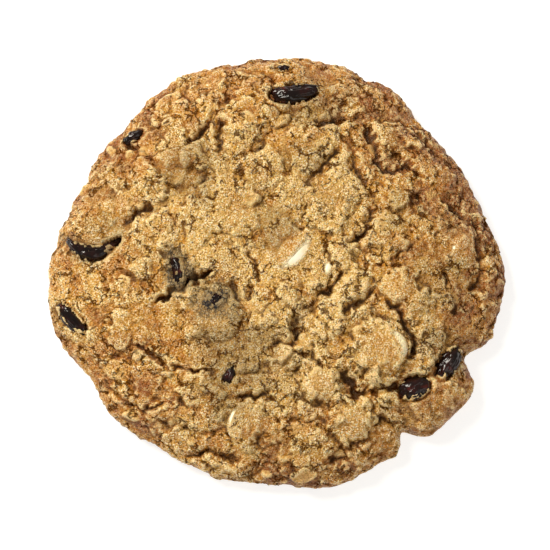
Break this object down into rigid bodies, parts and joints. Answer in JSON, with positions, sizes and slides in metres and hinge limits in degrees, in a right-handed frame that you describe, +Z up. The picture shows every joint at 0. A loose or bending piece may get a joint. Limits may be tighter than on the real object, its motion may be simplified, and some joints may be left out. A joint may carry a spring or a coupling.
{
  "type": "cookie",
  "caption": "Round craggy oatmeal cookie with a cracked crust, dark dried cherries and pale chips set in its top.",
  "frame": {"origin": "middle of the cookie's outline, on the flat underside it rests on", "axes": "+Z up through the top, +X along the widest way across, +Y towards the back edge"},
  "size_m": [0.0992, 0.0952, 0.0148],
  "materials": {
    "dough": "baked crumb",
    "cherry": "wrinkled gloss",
    "chip": "waxy"
  },
  "bodies": {
    "root": {"cookie_dough": "dough", "cherry_back": "cherry", "cherry_left": "cherry", "cherry_left_front": "cherry", "cherry_right": "cherry", "cherry_right_front": "cherry", "cherry_middle": "cherry", "cherry_veiled": "cherry", "cherry_front": "cherry", "cherry_back_left": "cherry", "cherry_rim": "cherry", "chip_middle": "chip", "chip_tip": "chip", "chip_right": "chip", "chip_front": "chip", "chip_far_right": "chip"}
  },
  "joints": []
}
